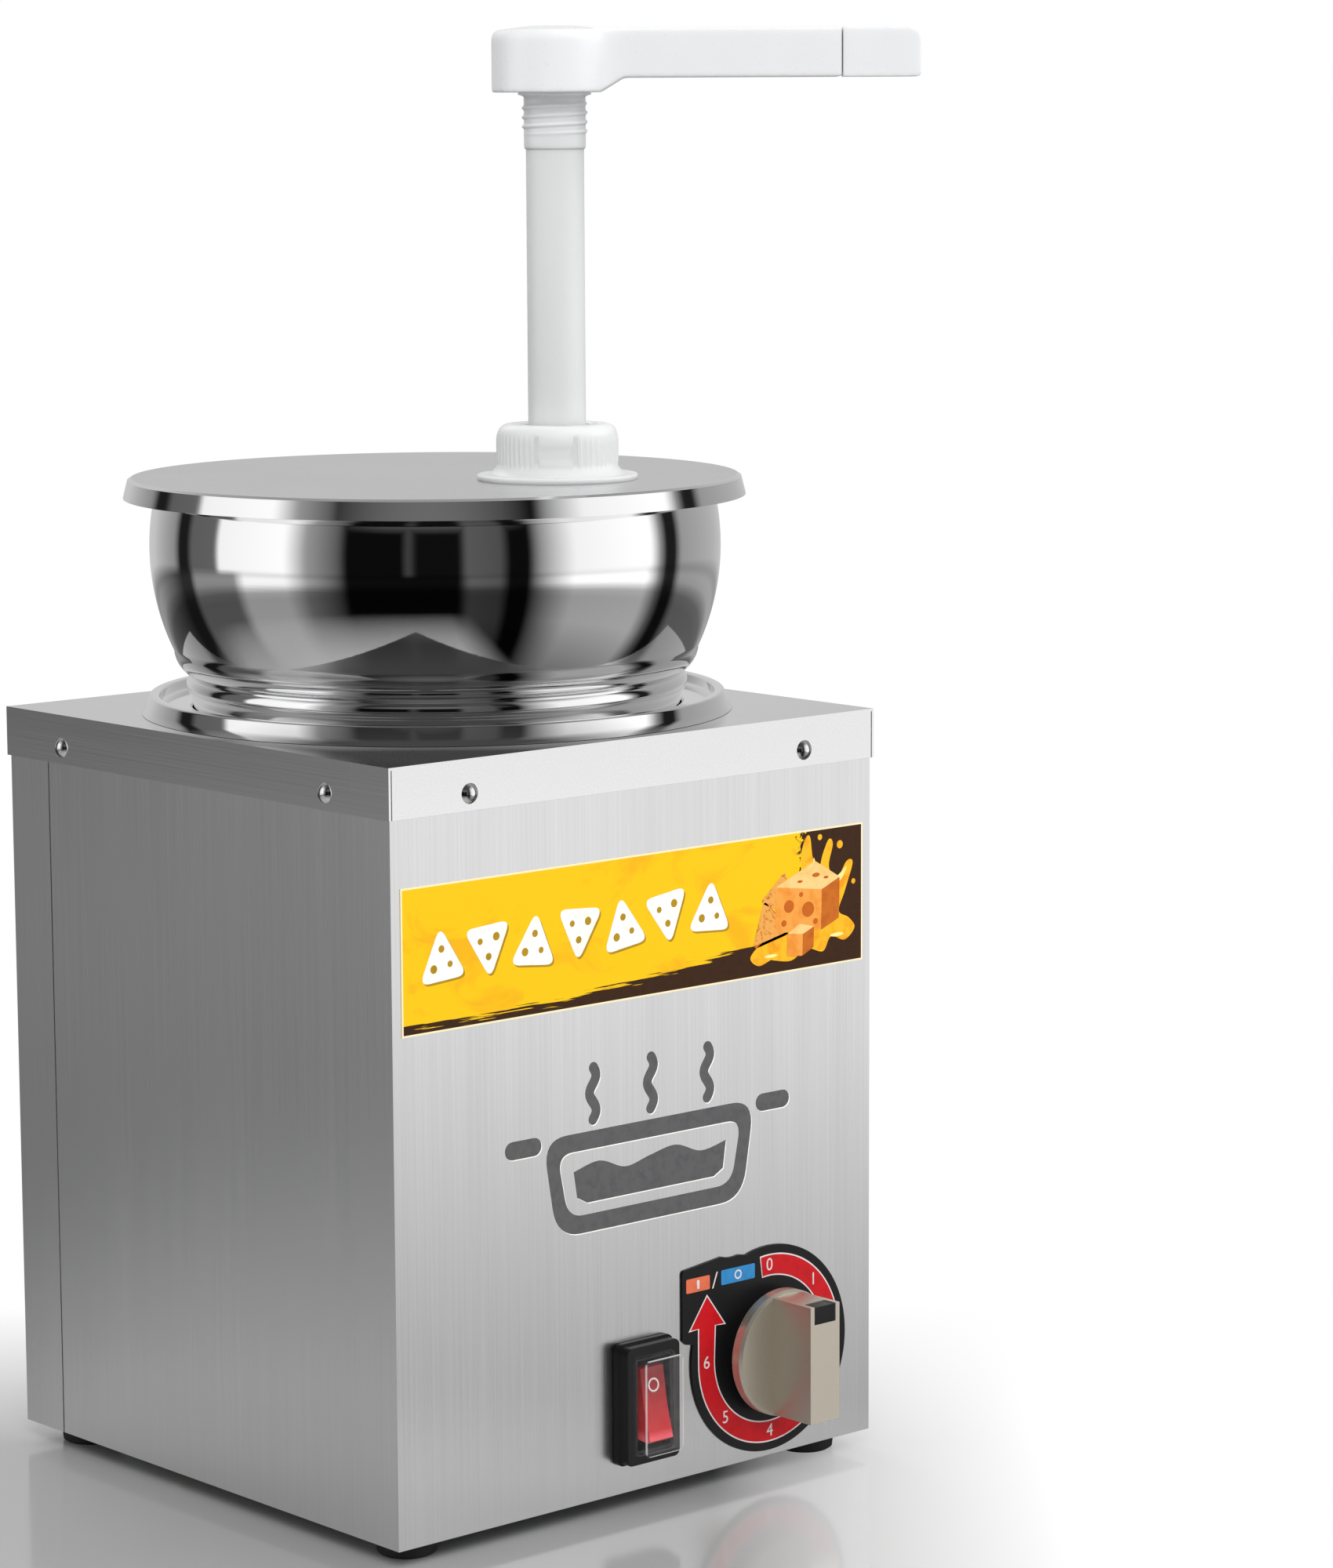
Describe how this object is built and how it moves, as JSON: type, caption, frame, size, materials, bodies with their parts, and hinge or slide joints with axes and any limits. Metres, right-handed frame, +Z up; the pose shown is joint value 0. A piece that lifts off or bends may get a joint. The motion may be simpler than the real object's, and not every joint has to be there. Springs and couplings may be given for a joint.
{
  "type": "heated cheese dispenser",
  "caption": "Square steel casing with a heated water well, a lift-out round pot and lid, and a spring-return hand pump with a long swivelling spout.",
  "frame": {"origin": "on the counter under the centre of the square casing", "axes": "+Z up, -Y out of the control panel, +X to the right seen from the front"},
  "size_m": [0.236, 0.2687, 0.5243],
  "materials": {
    "brushed_casing": "fine brushed stainless",
    "polished_steel": "polished stainless",
    "lid_steel": "spun satin top with a bright lip",
    "plated_screw": "bright plated",
    "galvanised": "galvanised sheet",
    "rubber_black": "matt",
    "gasket_grey": "matt",
    "plate_aluminium": "cast",
    "element_sheath": "dark oxide",
    "insulation": "glass wool",
    "copper_tube": "drawn copper",
    "brass_terminal": "plain",
    "ceramic_beige": "unglazed",
    "black_plastic": "moulded",
    "dial_print": "screen-printed plate",
    "knob_champagne": "satin metallic paint",
    "rocker_red": "translucent red",
    "clear_boot": "clear silicone",
    "label_print": "printed film",
    "ivory_block": "moulded",
    "wire_brown": "insulated wire",
    "wire_blue": "insulated wire",
    "wire_green_yellow": "insulated wire",
    "pump_white": "milky polypropylene",
    "pump_clear": "frosted translucent",
    "seal_rubber": "silicone",
    "spring_steel": "drawn wire"
  },
  "bodies": {
    "casing": {"casing_wrap": "brushed_casing", "rear_cover": "brushed_casing", "top_cover": "brushed_casing", "base_plate": "galvanised", "cover_screws": "plated_screw", "rear_screws": "plated_screw", "rubber_feet": "rubber_black", "foot_screws": "plated_screw", "foot_nuts": "plated_screw", "water_well": "polished_steel", "well_gasket": "gasket_grey", "heater_plate": "plate_aluminium", "heating_element": "element_sheath", "heater_clamp": "galvanised", "clamp_nut": "plated_screw", "insulation_sleeve": "insulation", "thermal_cutout": "ceramic_beige", "sensing_bulb": "copper_tube", "capillary_tube": "copper_tube", "thermostat_body": "ceramic_beige", "thermostat_screws": "plated_screw", "dial_plate": "dial_print", "switch_bezel": "black_plastic", "switch_body": "black_plastic", "rocker_pin": "plated_screw", "switch_boot": "clear_boot", "switch_tabs": "brass_terminal", "front_label": "label_print", "cord_gland": "black_plastic", "gland_nut": "black_plastic", "terminal_block": "ivory_block", "terminal_screws": "brass_terminal", "earth_stud": "brass_terminal", "live_wires": "wire_brown", "neutral_wires": "wire_blue", "earth_wire": "wire_green_yellow"},
    "knob_group": {"knob": "knob_champagne", "knob_pointer": "black_plastic", "thermostat_shaft": "plated_screw"},
    "rocker_group": {"rocker": "rocker_red"},
    "pot_group": {"pot": "polished_steel"},
    "lid_group": {"lid": "lid_steel", "pump_collar": "pump_white", "lid_washer": "seal_rubber", "lock_nut": "pump_white", "barrel": "pump_clear", "inlet_valve": "pump_white"},
    "inlet_ball_group": {"inlet_ball": "polished_steel"},
    "spring_group": {"pump_spring": "spring_steel"},
    "plunger_group": {"piston": "pump_white", "piston_seal": "seal_rubber", "plunger_tube": "pump_clear", "lock_sleeve": "pump_white", "pump_head": "pump_white", "spout_tip": "pump_white"},
    "outlet_ball_group": {"outlet_ball": "polished_steel"}
  },
  "joints": [
    {"name": "pot_lift", "type": "slide", "parent": "casing", "child": "pot_group", "axis": [0, 0, 1], "range_m": [0, 0.18]},
    {"name": "lid_lift", "type": "slide", "parent": "pot_group", "child": "lid_group", "axis": [0, 0, 1], "range_m": [0, 0.2]},
    {"name": "pump_swivel", "type": "hinge", "parent": "lid_group", "child": "spring_group", "pos_m": [0.01733, -0.04839, 0.37], "axis": [0, 0, 1], "continuous": true},
    {"name": "pump_stroke", "type": "slide", "parent": "spring_group", "child": "plunger_group", "axis": [0, 0, -1], "range_m": [0, 0.1], "stiffness_N_per_m": 250, "springref_m": -0.02, "deforming": ["pump_spring"]},
    {"name": "outlet_ball_lift", "type": "slide", "parent": "plunger_group", "child": "outlet_ball_group", "axis": [0, 0, 1], "range_m": [0, 0.003]},
    {"name": "inlet_ball_lift", "type": "slide", "parent": "lid_group", "child": "inlet_ball_group", "axis": [0, 0, 1], "range_m": [0, 0.002]},
    {"name": "knob_turn", "type": "hinge", "parent": "casing", "child": "knob_group", "pos_m": [0.0606, -0.118, 0.0475], "axis": [0, 1, 0], "range_deg": [0, 270]},
    {"name": "rocker_tilt", "type": "hinge", "parent": "casing", "child": "rocker_group", "pos_m": [-0.0013, -0.1135, 0.04], "axis": [1, 0, 0], "range_deg": [0, 23]}
  ]
}
